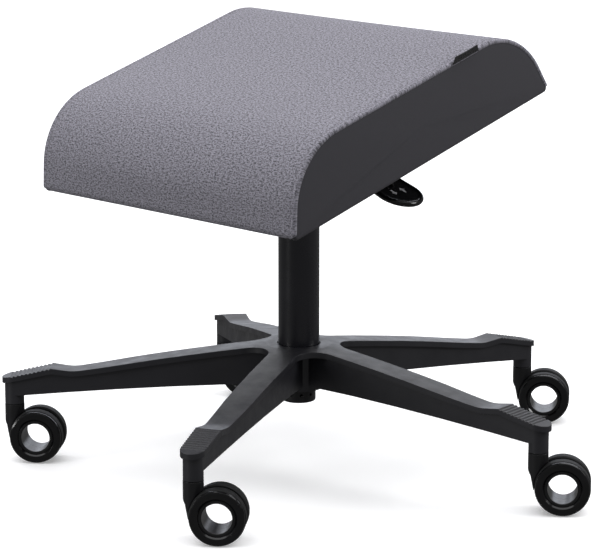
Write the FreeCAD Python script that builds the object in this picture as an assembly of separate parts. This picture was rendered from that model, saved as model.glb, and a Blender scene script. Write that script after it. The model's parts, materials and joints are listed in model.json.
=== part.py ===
import FreeCAD, Part
import math
import os

from FreeCAD import Placement, Rotation, Vector

# Footrest stool: an upholstered, forward-sloping cushion on a gas column and a five-arm caster base.
# Millimetres, +Z up. The origin is on the column axis at floor level, +X is the sitter's right hand
# and -Y is the low front edge of the cushion. The seat is at its lowest height.

# ---- clearances
running_gap = 0.05          # radial, shaft in hole
press_gap = 0.02            # radial, parts pressed or glued together
face_gap = 0.3              # between faces that slide or turn past each other
overrun = 5.0               # how far a cutting shape runs past what it cuts

# ---- base
arm_count = 5
first_arm_azimuth = -64.4
caster_circle = 348.3       # radius of the caster stem axes
pad_length = 46.0           # from the pad's crest to the stem axis
waist_length = 73.0         # from the waist to the stem axis
arm_taper_length = 140.0    # from where the arm starts to narrow to the stem axis
hub_top = 149.0
hub_bottom = 94.0
hub_radius = 29.0
hub_flat_radius = 40.0      # the top is flat out to here
notch_radius = 50.0         # nearest point of the gap between two arms
notch_tangent = 68.0        # where that gap's round end meets the straight arm edge
arm_half_width = 17.4
arm_root_flare = 0.6        # how much wider the arm is where it leaves the hub
waist_half_width = 14.8
pad_half_width = 15.6
tip_radius = 14.7
lip_height = 7.0            # depth of the wider top plate
waist_top = 114.6
waist_entry = 12.0          # the waist's curve starts this far before it
waist_exit = 14.0           # and climbs again this far after it
waist_rise = 1.2
waist_flat = 8.0            # length over which the waist keeps its width
pad_flare = 3.0             # the pad reaches its full width this far before its crest
arm_sag = ((0.33, 10.0), (0.69, 23.0))  # (share of the way to the waist, drop below the hub)
pad_crest = 117.6
pad_tip_top = 104.0
arm_bottom_inner = 100.5
arm_bottom_outer = 82.0
underside_curve = 1.5       # 1 is a straight lower edge, more hollows it
web_inner_half_width = 14.0
arm_wall = 3.0
arm_rib_count = 5
rib_wall = 2.5
socket_radius = 11.7
socket_bottom = 71.3
socket_below_pad = 2.0      # the socket's top ends inside the pad
bore_end_room = 1.0         # above the stem
tread_groove_count = 10
tread_groove_pitch = 5.0
tread_groove_radius = 1.9
tread_groove_depth = 1.1
first_groove = 2.5          # from the pad's crest
column_recess = 1.6         # width and depth of the groove round the column at the hub's top

# ---- gas column
column_radius = 25.0
column_wall = 1.8
column_top = 316.0
column_taper = 0.6          # how much the radius shrinks inside the hub
column_floor = 3.0
tube_radius = 14.0          # pressure tube
tube_wall = 2.0
tube_bottom = 128.0
tube_top = 363.0
tube_taper = 0.7
guide_length = 93.0
guide_lip = 3.0
rod_radius = 5.0
rod_neck_radius = 4.0
rod_bottom = 86.0
washer_thickness = 1.5
washer_radius = 11.0
ball_radius = 2.0
ball_count = 10
ball_circle = 7.6
cage_height = 2.4
clip_thickness = 1.5
clip_radius = 7.0
clip_groove_depth = 0.8
piston_bottom = 300.0
piston_height = 12.0
rod_end_above_piston = 2.0
seal_height = 15.0
valve_height = 18.0
pin_radius = 4.0
pin_tip_radius = 1.2
pin_above_tube = 4.9
end_cap_radius = 20.5
end_cap_height = 16.4
end_cap_wall = 2.6
end_cap_hole_count = 10
end_cap_hole_radius = 1.9
end_cap_hole_drop = 6.6     # hole axes below the hub
end_cap_round = 2.2

# ---- caster
wheel_radius = 32.5
caster_width = 45.0
caster_trail = 28.7
caster_azimuth = 39.3       # every caster trails this way at rest
caster_bore_radius = 17.4
sleeve_wall = 1.6
sleeve_flange = 2.2
sleeve_flange_thickness = 1.5
sleeve_recess = 2.0         # how far the flange sits inside the wheel's outer face
sleeve_chamfer = 0.5
web_thickness = 8.0
web_radius = 29.4
wheel_side_gap = 0.8
tread_depth = 4.0
tread_width = 13.2
tread_round = 1.5
tread_proud = 0.7           # tread beyond the hard rim
rim_round = 2.5
rim_arc_share = 0.3         # where the rim's round edge is split, as a share of its size
rim_mouth_chamfer = 1.8     # round the sleeve's pocket
wheel_clearance = 0.8       # between the body's neck and the wheels
neck_radius = 11.85
neck_straight_to = 52.0     # the neck's outer edge is straight down to here
neck_knee = (3.2, 7.0)      # then it turns in by this much over this drop
neck_knee_bulge = (1.0, 3.6)
neck_foot = (6.9, 24.0)     # and ends this far in and down, close to the wheels' rims
stem_radius = 5.5
stem_depth = 22.0           # length inside the base socket
stem_collar_radius = 8.0
stem_collar_height = 0.5
stem_lower_radius = 4.0
stem_bore_bottom = 54.0
grip_ring_height = 5.0
grip_ring_depth = 1.0
grip_ring_from_top = 3.0

# ---- seat cushion, in its own tilted frame: u runs rearward along the base, v is square to it
seat_tilt = 16.3
seat_height = 399.4         # base plane at the column axis
cushion_front = -227.6      # u of the front edge
cushion_length = 443.0
cushion_width = 430.0
cushion_thickness = 97.0
side_slope = 72.0
top_round = 92.0
bottom_round = 7.0
cover_thickness = 2.0
cover_return = 30.0         # cover folded in under the board
panel_inset = 1.5           # side panels sit inside the cover's edge
board_thickness = 12.0
board_margin = 6.0
board_corner = 20.0
dust_cover_thickness = 1.0
lining_gap = 1.0            # between the lining and the cover's folded-in edge
tab_length = 44.7           # along the seam
tab_top_length = 38.0
tab_height = 9.8
tab_thickness = 1.2
tab_from_rear = 106.9
tab_lean = 23.0             # outward from upright
tab_root = 3.0              # starts this far below the cushion's top

# ---- mounting bracket under the board
bracket_wall = 3.0
bracket_half_width = 45.0
bracket_front = -55.0
bracket_rear = 75.0
bracket_floor = 352.0       # underside
flange_width = 28.0
socket_wall = 5.0           # taper socket that takes the pressure tube
taper_bottom = 322.0
bolt_radius = 3.0
bolt_head_radius = 5.0
bolt_head_height = 4.0
bolt_washer_radius = 7.0
bolt_washer_thickness = 1.2
tee_nut_radius = 9.5
tee_nut_barrel_radius = 4.0
tee_nut_flange = 1.4
tee_nut_sink = 1.0          # its barrel ends this far inside the board's underside
bolt_reach = 2.0            # bolt end past the tee nut
bolt_inset = 22.0           # from the bracket's ends
weld_sink = 1.0             # how far the ears reach into the bracket's floor
taper_below_tube = 1.0      # the socket ends this far below the tube's top

# ---- height lever
lever_height = 372.0
lever_radius = 4.0
lever_pivot_x = 32.0
lever_inner_end = -6.0
lever_bend_x = 118.0
lever_block_half_length = 7.0
lever_block_half_width = 6.0
lever_block_half_height = 6.0
lever_slot_half_width = 6.5
lever_slot_up = 8.0
lever_slot_down = 2.0
pivot_pin_radius = 2.5
pivot_head_size = 1.5       # how much wider and how long the pin's heads are
ear_wall = 3.0
ear_half_length = 8.0
ear_height_above_pivot = 6.5
paddle_start_x = 124.0
paddle_end_x = 193.5
paddle_droop = 19.5
paddle_half_width = 30.5      # and the radius of its round end
paddle_shoulder_half_width = 28.0
paddle_neck_half_width = 9.0
paddle_thickness = 7.0
paddle_cover = 24.0         # length of rod inside the paddle
paddle_shoulder = 12.0      # from the neck to where it has spread to its shoulders
paddle_boss_wall = 2.5
paddle_boss_end = 3.0

# ---- worked out from the above
arm_step = 360.0 / arm_count
stem_bore_radius = stem_radius + running_gap
column_inner = column_radius - column_wall
tube_inner = tube_radius - tube_wall
sleeve_outer = caster_bore_radius + sleeve_wall
wheel_bore_radius = sleeve_outer + running_gap
wheel_inner_face = web_thickness / 2 + wheel_side_gap
wheel_outer_face = caster_width / 2
cushion_rear = cushion_front + cushion_length
seat_frame = Placement(Vector(0, 0, seat_height), Rotation(Vector(1, 0, 0), seat_tilt))
up = Vector(0, 0, 1)
origin = Vector(0, 0, 0)


# ---- general helpers
def disc(radius, bottom, top, x=0.0, y=0.0):
    return Part.makeCylinder(radius, top - bottom, Vector(x, y, bottom), up)


def ring(outer, inner, bottom, top, x=0.0, y=0.0):
    return disc(outer, bottom, top, x, y).cut(disc(inner, bottom, top, x, y))


def box(x0, x1, y0, y1, z0, z1):
    return Part.makeBox(x1 - x0, y1 - y0, z1 - z0, Vector(x0, y0, z0))


def polygon(points):
    return Part.makePolygon(points + [points[0]])


def prism(wire, along):
    return Part.Face(wire).extrude(along)


def turned(points):
    """Solid of revolution about Z from (radius, height) points."""
    wire = polygon([Vector(r, 0, z) for r, z in points])
    return Part.Face(wire).revolve(origin, up, 360)


def rod_along(start, end, radius):
    return Part.makeCylinder(radius, (end - start).Length, start, end - start)


def polar(radius, azimuth, height=0.0):
    angle = math.radians(azimuth)
    return Vector(radius * math.cos(angle), radius * math.sin(angle), height)


def placed(shape, position, azimuth):
    copy = shape.copy()
    copy.Placement = Placement(position, Rotation(up, azimuth)).multiply(copy.Placement)
    return copy


def joined(shapes):
    return shapes[0].fuse(shapes[1:]).removeSplitter()


def arm_azimuths():
    return [first_arm_azimuth + arm * arm_step for arm in range(arm_count)]


# ---- star base
pad_crest_r = caster_circle - pad_length
waist_r = caster_circle - waist_length
taper_r = caster_circle - arm_taper_length
tip_r = caster_circle + tip_radius


def pad_height(r):
    """Height of the pads' straight, sloping top at radius r."""
    return pad_crest + (pad_tip_top - pad_crest) * (r - pad_crest_r) / (tip_r - pad_crest_r)


def arm_top_edges(drop):
    """The arms' top line from the axis to past the tip, lowered by drop."""
    stations = [(hub_flat_radius, hub_top)]
    stations += [(hub_flat_radius + share * (waist_r - hub_flat_radius), hub_top - sag) for share, sag in arm_sag]
    stations += [(waist_r - waist_entry, waist_top + waist_rise), (waist_r, waist_top),
                 (waist_r + waist_exit, waist_top + waist_rise), (pad_crest_r, pad_crest)]
    curve = Part.BSplineCurve()
    curve.interpolate(Points=[Vector(r, 0, z - drop) for r, z in stations])
    beyond = Vector(tip_r + overrun, 0, pad_height(tip_r + overrun) - drop)
    start = Vector(0, 0, hub_top - drop)
    flat = Part.makeLine(start, Vector(hub_flat_radius, 0, hub_top - drop))
    pad = Part.makeLine(Vector(pad_crest_r, 0, pad_crest - drop), beyond)
    return [flat, curve.toShape(), pad], start, beyond


def turned_band(drop, low_points):
    """Everything between the arms' top line, lowered by drop, and the line through low_points."""
    edges, start, beyond = arm_top_edges(drop)
    corners = [beyond] + [Vector(r, 0, z) for r, z in low_points] + [start]
    sides = [Part.makeLine(a, b) for a, b in zip(corners, corners[1:])]
    return Part.Face(Part.Wire(edges + sides)).revolve(origin, up, 360)


def lip_band():
    """The top plate's depth, with its upper and lower faces parallel."""
    edges, start, beyond = arm_top_edges(0)
    low_edges, low_start, low_beyond = arm_top_edges(lip_height)
    outer = Part.makeLine(beyond, low_beyond)
    inner = Part.makeLine(low_start, start)
    wire = Part.Wire(edges + [outer] + low_edges[::-1] + [inner])
    return Part.Face(wire).revolve(origin, up, 360)


def arm_outline_edges(azimuth):
    """One arm's outline from its right root to its left root, then the round gap to the next arm."""
    def point(r, offset):
        return polar(r, azimuth) + polar(offset, azimuth + 90)

    root_half_width = arm_half_width + arm_root_flare
    widths = [(notch_tangent, root_half_width), (taper_r, arm_half_width), (waist_r, waist_half_width),
              (waist_r + waist_flat, waist_half_width), (pad_crest_r - pad_flare, pad_half_width),
              (caster_circle, tip_radius)]
    right = [point(r, -half_width) for r, half_width in widths]
    left = [point(r, half_width) for r, half_width in widths[::-1]]
    tip = Part.Arc(right[-1], point(tip_r, 0), left[0]).toShape()
    next_root = polar(notch_tangent, azimuth + arm_step) + polar(-root_half_width, azimuth + arm_step + 90)
    gap = Part.Arc(left[-1], polar(notch_radius, azimuth + arm_step / 2), next_root).toShape()
    edges = [Part.makeLine(a, b) for a, b in zip(right, right[1:])]
    edges.append(tip)
    edges += [Part.makeLine(a, b) for a, b in zip(left, left[1:])]
    edges.append(gap)
    return edges


def star_outline():
    edges = []
    for azimuth in arm_azimuths():
        edges += arm_outline_edges(azimuth)
    return Part.Wire(edges)


def web_outline(inner_half, outer_half, start_r, end_r):
    corners = [(start_r, -inner_half), (end_r, -outer_half), (end_r, outer_half), (start_r, inner_half)]
    return polygon([Vector(r, offset, 0) for r, offset in corners])


def arm_underside(r):
    """Height of an arm's lower edge at radius r."""
    share = (r - hub_radius) / (caster_circle - hub_radius)
    return arm_bottom_inner + (arm_bottom_outer - arm_bottom_inner) * share ** underside_curve


def arm_webs():
    """The deep, narrower box under each arm's top plate."""
    steps = 5
    stations = [caster_circle - step / steps * (caster_circle - hub_radius) for step in range(steps + 1)]
    low = [(tip_r + overrun, arm_bottom_outer)] + [(r, arm_underside(r)) for r in stations]
    low.append((0, arm_bottom_inner))
    band = turned_band(lip_height / 2, low)
    outline = web_outline(web_inner_half_width, socket_radius - press_gap, 0, caster_circle)
    webs = [placed(prism(outline, Vector(0, 0, hub_top)), origin, azimuth) for azimuth in arm_azimuths()]
    return band.common(joined(webs))


def arm_pocket():
    """The hollow in one arm's underside, along +X, with its cross ribs left standing."""
    pocket_end = caster_circle - socket_radius - arm_wall
    outline = web_outline(web_inner_half_width - arm_wall, socket_radius - arm_wall,
                          hub_radius - arm_wall, pocket_end)
    pocket = prism(outline, Vector(0, 0, hub_top)).cut(disc(hub_radius, 0, hub_top))
    span = pocket_end - hub_radius
    for rib in range(1, arm_rib_count + 1):
        r = hub_radius + span * rib / (arm_rib_count + 1)
        pocket = pocket.cut(box(r - rib_wall / 2, r + rib_wall / 2, -hub_radius, hub_radius, 0, hub_top))
    return pocket


def arm_pockets():
    band = turned_band(lip_height, [(tip_r + overrun, 0), (0, 0)])
    pockets = [placed(arm_pocket(), origin, azimuth) for azimuth in arm_azimuths()]
    return band.common(Part.makeCompound(pockets))


def pad_grooves():
    """Round-bottomed cross grooves in every pad."""
    grooves = []
    for groove in range(tread_groove_count):
        r = pad_crest_r + first_groove + groove * tread_groove_pitch
        height = pad_height(r) + tread_groove_radius - tread_groove_depth
        start = Vector(r, -pad_half_width - overrun, height)
        end = Vector(r, pad_half_width + overrun, height)
        grooves.append(rod_along(start, end, tread_groove_radius))
    return [placed(groove, origin, azimuth) for azimuth in arm_azimuths() for groove in grooves]


def column_seat(gap):
    """The tapered foot of the column, grown by gap, as it fills the hub."""
    points = [(0, hub_bottom), (column_radius - column_taper + gap, hub_bottom),
              (column_radius + gap, hub_top - column_recess), (0, hub_top - column_recess)]
    return turned(points)


def star_base():
    plate = lip_band().common(prism(star_outline(), Vector(0, 0, hub_top + overrun)))
    hub = disc(hub_radius, hub_bottom, hub_top - lip_height / 2)
    socket_top = pad_tip_top - socket_below_pad
    bore_top = socket_bottom + stem_depth + bore_end_room
    stems = [polar(caster_circle, azimuth)[:2] for azimuth in arm_azimuths()]
    sockets = [disc(socket_radius, socket_bottom, socket_top, x, y) for x, y in stems]
    base = joined([plate, arm_webs().cut(arm_pockets()), hub] + sockets)
    bores = [disc(stem_bore_radius, socket_bottom, bore_top, x, y) for x, y in stems]
    recess = disc(column_radius + column_recess, hub_top - column_recess, hub_top + overrun)
    return base.cut([column_seat(press_gap), recess] + bores + pad_grooves())


# ---- gas column
def column_outer_tube():
    foot = [(rod_neck_radius + running_gap, hub_bottom), (column_radius - column_taper, hub_bottom),
            (column_radius, hub_top - column_recess), (column_radius, column_top),
            (column_inner, column_top), (column_inner, hub_top),
            (column_inner - column_taper, hub_bottom + column_floor),
            (rod_neck_radius + running_gap, hub_bottom + column_floor)]
    return turned(foot)


def guide_bush():
    sleeve = ring(column_inner - press_gap, tube_radius + running_gap, column_top - guide_length + guide_lip,
                  column_top)
    lip = ring(column_radius, tube_radius + running_gap, column_top, column_top + guide_lip)
    return joined([sleeve, lip])


def column_end_cap():
    bottom = hub_bottom - end_cap_height
    cap = disc(end_cap_radius, bottom, hub_bottom)
    lower_edge = [edge for edge in cap.Edges if abs(edge.BoundBox.ZMax - bottom) < 1e-6]
    cap = cap.makeFillet(end_cap_round, lower_edge)
    cap = cap.cut(disc(end_cap_radius - end_cap_wall, bottom + end_cap_wall, hub_bottom))
    hole_height = hub_bottom - end_cap_hole_drop
    holes = [rod_along(Vector(0, 0, hole_height), polar(end_cap_radius + overrun, hole * 360 / end_cap_hole_count,
                       hole_height), end_cap_hole_radius) for hole in range(end_cap_hole_count)]
    return cap.cut(holes)


bearing_floor = hub_bottom + column_floor
ball_height = bearing_floor + washer_thickness + ball_radius
upper_washer_bottom = ball_height + ball_radius + running_gap
rod_shoulder = upper_washer_bottom + washer_thickness


def thrust_bearing():
    washer = ring(washer_radius, rod_neck_radius + running_gap, bearing_floor, bearing_floor + washer_thickness)
    cage = ring(washer_radius, rod_neck_radius + running_gap, ball_height - cage_height / 2,
                ball_height + cage_height / 2)
    seats = [polar(ball_circle, ball * 360 / ball_count, ball_height) for ball in range(ball_count)]
    pockets = [Part.makeCylinder(ball_radius + running_gap, cage_height, seat - up * cage_height / 2, up)
               for seat in seats]
    balls = [Part.makeSphere(ball_radius, seat) for seat in seats]
    return Part.makeCompound([washer, cage.cut(pockets)] + balls)


def thrust_washer_upper():
    return ring(washer_radius, rod_neck_radius + press_gap, upper_washer_bottom, rod_shoulder)


def piston_rod():
    neck_top = piston_bottom + piston_height + rod_end_above_piston
    rod = joined([disc(rod_neck_radius, rod_bottom, neck_top), disc(rod_radius, rod_shoulder, piston_bottom)])
    clip_top = hub_bottom - running_gap
    groove = ring(rod_neck_radius, rod_neck_radius - clip_groove_depth, clip_top - clip_thickness, clip_top)
    return rod.cut(groove)


def rod_clip():
    clip_top = hub_bottom - running_gap
    clip = ring(clip_radius, rod_neck_radius - clip_groove_depth + press_gap, clip_top - clip_thickness, clip_top)
    mouth = box(0, clip_radius, -rod_neck_radius / 2, rod_neck_radius / 2, rod_bottom, hub_bottom)
    return clip.cut(mouth)


def piston():
    return ring(tube_inner - running_gap, rod_neck_radius + press_gap, piston_bottom,
                piston_bottom + piston_height)


def pressure_tube():
    outline = [(tube_inner, tube_bottom), (tube_radius, tube_bottom), (tube_radius, taper_bottom),
               (tube_radius - tube_taper, tube_top), (tube_inner, tube_top)]
    return turned(outline)


def rod_seal_guide():
    return ring(tube_inner - press_gap, rod_radius + running_gap, tube_bottom, tube_bottom + seal_height)


def valve_body():
    return ring(tube_inner - press_gap, pin_radius + running_gap, tube_top - valve_height, tube_top)


def release_pin():
    tip = tube_top + pin_above_tube
    chamfer = pin_radius - pin_tip_radius
    outline = [(0, tube_top - valve_height), (pin_radius, tube_top - valve_height), (pin_radius, tip - chamfer),
               (pin_tip_radius, tip), (0, tip)]
    return turned(outline)


# ---- casters, each in a frame with its stem on Z and its trail along +X
def caster_stem():
    top = socket_bottom + stem_depth
    collar_bottom = socket_bottom - stem_collar_height
    stem = joined([
        disc(stem_radius, collar_bottom, top),
        disc(stem_collar_radius, collar_bottom, socket_bottom),
        disc(stem_lower_radius, stem_bore_bottom + face_gap, collar_bottom),
    ])
    ring_top = top - grip_ring_from_top
    groove = ring(stem_radius, stem_radius - grip_ring_depth, ring_top - grip_ring_height, ring_top)
    return stem.cut(groove)


def caster_grip_ring():
    ring_top = socket_bottom + stem_depth - grip_ring_from_top
    return ring(stem_radius, stem_radius - grip_ring_depth + press_gap, ring_top - grip_ring_height, ring_top)


def neck_profile():
    """Side view of the neck in the caster's X-Z plane: its back is straight, then follows the wheels."""
    top = socket_bottom - stem_collar_height - face_gap
    outer, bulge, knee, foot = [Vector(-neck_radius + inward, 0, neck_straight_to - drop)
                                for inward, drop in ((0, 0), neck_knee_bulge, neck_knee, neck_foot)]
    front = Vector(neck_radius, 0, neck_straight_to - neck_foot[1])
    edges = [
        Part.makeLine(Vector(neck_radius, 0, top), Vector(-neck_radius, 0, top)),
        Part.makeLine(Vector(-neck_radius, 0, top), outer),
        Part.Arc(outer, bulge, knee).toShape(),
        Part.makeLine(knee, foot),
        Part.makeLine(foot, front),
        Part.makeLine(front, Vector(neck_radius, 0, top)),
    ]
    return Part.Wire(edges)


def axle_cylinder(radius, near, far):
    """Cylinder on the wheels' axis, from near to far along it."""
    return Part.makeCylinder(radius, far - near, Vector(caster_trail, near, wheel_radius), Vector(0, 1, 0))


def caster_body():
    slab = prism(neck_profile(), Vector(0, 2 * neck_radius, 0))
    slab.translate(Vector(0, -neck_radius, 0))
    neck = slab.common(disc(neck_radius, 0, socket_bottom))
    room = wheel_radius + wheel_clearance
    for near, far in ((web_thickness / 2, caster_width), (-caster_width, -web_thickness / 2)):
        neck = neck.cut(axle_cylinder(room, near, far))
    web = axle_cylinder(web_radius, -web_thickness / 2, web_thickness / 2)
    bore = axle_cylinder(sleeve_outer + press_gap, -web_thickness / 2, web_thickness / 2)
    stem_bore = disc(stem_lower_radius + running_gap, stem_bore_bottom, socket_bottom)
    return joined([neck, web]).cut([bore, stem_bore])


def axle_turned(points, side):
    """Solid of revolution about the wheels' axis from (radius, distance from the middle) points."""
    centre = Vector(caster_trail, 0, wheel_radius)
    wire = polygon([centre + Vector(0, side * along, radius) for radius, along in points])
    return Part.Face(wire).revolve(centre, Vector(0, 1, 0), 360)


def half_sleeve(side):
    outer_face = wheel_outer_face - sleeve_recess
    flange_radius = sleeve_outer + sleeve_flange
    outline = [(caster_bore_radius, 0), (sleeve_outer, 0), (sleeve_outer, outer_face - sleeve_flange_thickness),
               (flange_radius, outer_face - sleeve_flange_thickness),
               (flange_radius, outer_face - sleeve_chamfer), (flange_radius - sleeve_chamfer, outer_face),
               (caster_bore_radius + sleeve_chamfer, outer_face),
               (caster_bore_radius, outer_face - sleeve_chamfer)]
    return axle_turned(outline, side)


def caster_sleeves():
    return Part.makeCompound([half_sleeve(side) for side in (1, -1)])


def wheel_rim(side):
    """Hard wheel: hub, web, a seat for the tread and the broad glossy outer face."""
    pocket = sleeve_outer + sleeve_flange + face_gap
    pocket_floor = wheel_outer_face - sleeve_recess - sleeve_flange_thickness - face_gap
    tread_seat = wheel_radius - tread_depth
    tread_end = wheel_inner_face + tread_width
    lip_radius = wheel_radius - tread_proud
    split = rim_arc_share * rim_round
    outline = [(wheel_bore_radius, wheel_inner_face), (tread_seat, wheel_inner_face), (tread_seat, tread_end),
               (lip_radius, tread_end), (lip_radius, wheel_outer_face - rim_round),
               (lip_radius - split, wheel_outer_face - split), (lip_radius - rim_round, wheel_outer_face),
               (pocket + rim_mouth_chamfer, wheel_outer_face),
               (pocket, wheel_outer_face - rim_mouth_chamfer), (pocket, pocket_floor),
               (wheel_bore_radius, pocket_floor)]
    return axle_turned(outline, side)


def wheel_tread(side):
    seat = wheel_radius - tread_depth + press_gap
    near = wheel_inner_face
    far = wheel_inner_face + tread_width - press_gap
    outline = [(seat, near), (wheel_radius - tread_round, near), (wheel_radius, near + tread_round),
               (wheel_radius, far - tread_round), (wheel_radius - tread_round, far), (seat, far)]
    return axle_turned(outline, side)


def at_caster(shape, azimuth):
    return placed(shape, polar(caster_circle, azimuth), caster_azimuth)


def on_every_caster(shape):
    return Part.makeCompound([at_caster(shape, azimuth) for azimuth in arm_azimuths()])


# ---- cushion, in the seat frame (x across, y = u, z = v)
def loaf_face(inset, x):
    """The cushion's end view at x, shrunk all round by inset. Every inset keeps the same arc centres."""
    slope = math.radians(side_slope)
    low_radius = bottom_round - inset
    high_radius = top_round - inset
    rise = cushion_thickness - top_round - bottom_round
    along_side = (rise + (top_round - bottom_round) * math.cos(slope)) / math.sin(slope)
    run = along_side * math.cos(slope) + (top_round - bottom_round) * math.sin(slope)
    edges = []
    ends = []
    for inward, start in ((1, cushion_front), (-1, cushion_rear)):
        low_centre = Vector(x, start + inward * bottom_round, bottom_round)
        high_centre = low_centre + Vector(0, inward * run, rise)
        side_normal = tilted(slope, inward)
        foot = low_centre - up * low_radius
        crown = high_centre + up * high_radius
        low_end = low_centre + side_normal * low_radius
        high_start = high_centre + side_normal * high_radius
        low_middle = low_centre + tilted((slope + math.pi) / 2, inward) * low_radius
        high_middle = high_centre + tilted(slope / 2, inward) * high_radius
        edges.append(Part.Arc(foot, low_middle, low_end).toShape())
        edges.append(Part.makeLine(low_end, high_start))
        edges.append(Part.Arc(high_start, high_middle, crown).toShape())
        ends.append((foot, crown))
    edges.append(Part.makeLine(ends[0][1], ends[1][1]))
    edges.append(Part.makeLine(ends[0][0], ends[1][0]))
    return Part.Face(Part.Wire(Part.__sortEdges__(edges)))


def tilted(angle, inward):
    """Unit vector in the end view, turned outward from straight up by angle."""
    return Vector(0, -inward * math.sin(angle), math.cos(angle))


def loaf(inset, x0, x1):
    return loaf_face(inset, x0).extrude(Vector(x1 - x0, 0, 0))


half_width = cushion_width / 2
panel_outer = half_width - panel_inset
panel_inner = panel_outer - cover_thickness


def foam_core():
    inner = loaf(cover_thickness + press_gap, -panel_inner, panel_inner)
    under = box(-half_width, half_width, cushion_front, cushion_rear, 0, cover_thickness + board_thickness)
    return inner.cut(under)


def seat_board():
    margin = cover_thickness + board_margin
    board = box(-half_width + margin, half_width - margin, cushion_front + margin, cushion_rear - margin,
                cover_thickness, cover_thickness + board_thickness)
    upright = [edge for edge in board.Edges if edge.BoundBox.ZLength > board_thickness / 2]
    board = board.makeFillet(board_corner, upright)
    return board.cut(tee_nut_holes())


def top_cover():
    band = loaf(0, -half_width, half_width)
    core = loaf(cover_thickness, -half_width, half_width)
    open_front = cushion_front + cover_return
    open_rear = cushion_rear - cover_return
    opening = box(-half_width, half_width, open_front, open_rear, -overrun, cover_thickness + overrun)
    return band.cut([core, opening])


def side_panel(side):
    x0, x1 = sorted((side * panel_inner, side * panel_outer))
    return loaf(cover_thickness + press_gap, x0, x1)


def dust_cover():
    top = cover_thickness
    x = panel_inner - lining_gap
    cover = box(-x, x, cushion_front + cover_return + lining_gap, cushion_rear - cover_return - lining_gap,
                top - dust_cover_thickness, top)
    shanks = [disc(bolt_radius + running_gap, 0, cushion_thickness, bx, by) for bx, by in bolt_places()]
    return cover.cut(shanks)


def seam_tab():
    """Folded woven tab that stands out of the right seam near the rear, its ends cut on the slant."""
    slant = (tab_length - tab_top_length) / 2
    corners = [(0, 0), (tab_length, 0), (tab_length - slant, tab_height), (slant, tab_height)]
    tab = prism(polygon([Vector(0, along, height) for along, height in corners]), Vector(tab_thickness, 0, 0))
    near = cushion_rear - tab_from_rear - tab_length
    root = Vector(half_width + face_gap, near, cushion_thickness - tab_root)
    tab.Placement = Placement(root, Rotation(Vector(0, 1, 0), tab_lean))
    return tab


# ---- mounting bracket and its fasteners
flange_top = cover_thickness - dust_cover_thickness
flange_bottom = flange_top - bracket_wall
nut_seat = cover_thickness + board_thickness


def bolt_places():
    """Bolt axes in the seat frame."""
    across = bracket_half_width + flange_width / 2
    along = [bracket_front + bolt_inset, bracket_rear - bolt_inset]
    return [(side * across, u) for side in (-1, 1) for u in along]


def bracket_bolt(x, u):
    head_top = flange_bottom - bolt_washer_thickness
    shank = disc(bolt_radius, head_top, nut_seat + bolt_reach, x, u)
    head = disc(bolt_head_radius, head_top - bolt_head_height, head_top, x, u)
    return joined([shank, head])


def bracket_bolts():
    return Part.makeCompound([bracket_bolt(x, u) for x, u in bolt_places()])


def bracket_washers():
    washers = [ring(bolt_washer_radius, bolt_radius + running_gap, flange_bottom - bolt_washer_thickness,
                    flange_bottom, x, u) for x, u in bolt_places()]
    return Part.makeCompound(washers)


def tee_nut(x, u):
    barrel = disc(tee_nut_barrel_radius, cover_thickness + tee_nut_sink, nut_seat, x, u)
    flange = disc(tee_nut_radius, nut_seat - tee_nut_flange, nut_seat, x, u)
    return joined([barrel, flange]).cut(disc(bolt_radius + press_gap, 0, cushion_thickness, x, u))


def tee_nuts():
    return Part.makeCompound([tee_nut(x, u) for x, u in bolt_places()])


def tee_nut_holes():
    """Room in the board for each tee nut and the bolt below it."""
    holes = []
    for x, u in bolt_places():
        holes.append(disc(tee_nut_barrel_radius + press_gap, 0, nut_seat, x, u))
        holes.append(disc(tee_nut_radius + press_gap, nut_seat - tee_nut_flange - press_gap,
                          nut_seat + overrun, x, u))
    return holes


def bolt_end_recesses():
    """Room in the foam for the ends of the bolts."""
    return [disc(tee_nut_radius, nut_seat - overrun, nut_seat + bolt_reach + face_gap, x, u)
            for x, u in bolt_places()]


def under_plane(shape, level):
    """What of a shape in the row frame lies below the seat-frame height level."""
    reach = 4 * cushion_width
    block = Part.makeBox(reach, reach, reach, Vector(-reach / 2, -reach / 2, level - reach))
    block.Placement = seat_frame
    return shape.common(block)


def bracket_ear(side):
    """Upright tab that holds one end of the lever's pivot pin."""
    inner = lever_block_half_width + face_gap
    y0, y1 = sorted((side * inner, side * (inner + ear_wall)))
    ear = box(lever_pivot_x - ear_half_length, lever_pivot_x + ear_half_length, y0, y1,
              bracket_floor + bracket_wall - weld_sink, lever_height + ear_height_above_pivot)
    hole = rod_along(Vector(lever_pivot_x, y0, lever_height), Vector(lever_pivot_x, y1, lever_height),
                     pivot_pin_radius + press_gap)
    return ear.cut(hole)


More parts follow.
